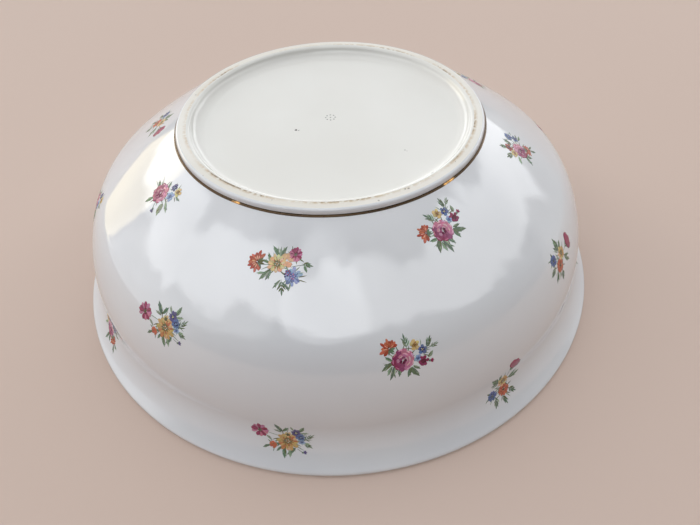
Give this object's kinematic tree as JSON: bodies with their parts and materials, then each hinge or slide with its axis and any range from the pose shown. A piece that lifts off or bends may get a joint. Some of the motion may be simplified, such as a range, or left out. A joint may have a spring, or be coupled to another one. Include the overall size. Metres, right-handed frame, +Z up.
{
  "type": "porcelain serving bowl",
  "caption": "Round white porcelain serving bowl with a flared lip, a foot ring with a gilt line and scattered flower sprays, standing on its rim.",
  "frame": {"origin": "centre of the rim's circle, in the plane that the lip stands on", "axes": "+Z up along the bowl's axis from the rim to the foot ring: the bowl is upside down, as pictured and as it is stored. Turn it half a turn about X to serve from it. -Y is the side facing the viewer of the main render."},
  "size_m": [0.26, 0.26, 0.0818],
  "materials": {
    "porcelain": "matte fired porcelain",
    "bare_porcelain": "smooth unglazed foot, slightly cream",
    "glaze": "clear gloss glaze on white porcelain",
    "base_glaze": "gloss glaze, warm white with small specks",
    "gilding": "burnished bright gold, worn in places",
    "mark_print": "grey underglaze print",
    "enamel_print": "on-glaze enamel transfer, satin gloss"
  },
  "bodies": {
    "root": {"bowl_body": "porcelain", "foot_ring": "bare_porcelain", "outer_glaze": "glaze", "inner_glaze": "glaze", "base_glaze": "base_glaze", "gold_foot_line": "gilding", "base_mark": "mark_print", "spray_shoulder_1": "enamel_print", "spray_shoulder_2": "enamel_print", "spray_shoulder_3": "enamel_print", "spray_shoulder_4": "enamel_print", "spray_shoulder_5": "enamel_print", "spray_shoulder_6": "enamel_print", "spray_shoulder_7": "enamel_print", "spray_shoulder_8": "enamel_print", "spray_belly_1": "enamel_print", "spray_belly_2": "enamel_print", "spray_belly_3": "enamel_print", "spray_belly_4": "enamel_print", "spray_belly_5": "enamel_print", "spray_belly_6": "enamel_print", "spray_belly_7": "enamel_print", "spray_belly_8": "enamel_print", "spray_flare_1": "enamel_print", "spray_flare_2": "enamel_print", "spray_flare_3": "enamel_print", "spray_flare_4": "enamel_print", "spray_flare_5": "enamel_print", "spray_flare_6": "enamel_print", "spray_flare_7": "enamel_print", "spray_flare_8": "enamel_print"}
  },
  "joints": []
}
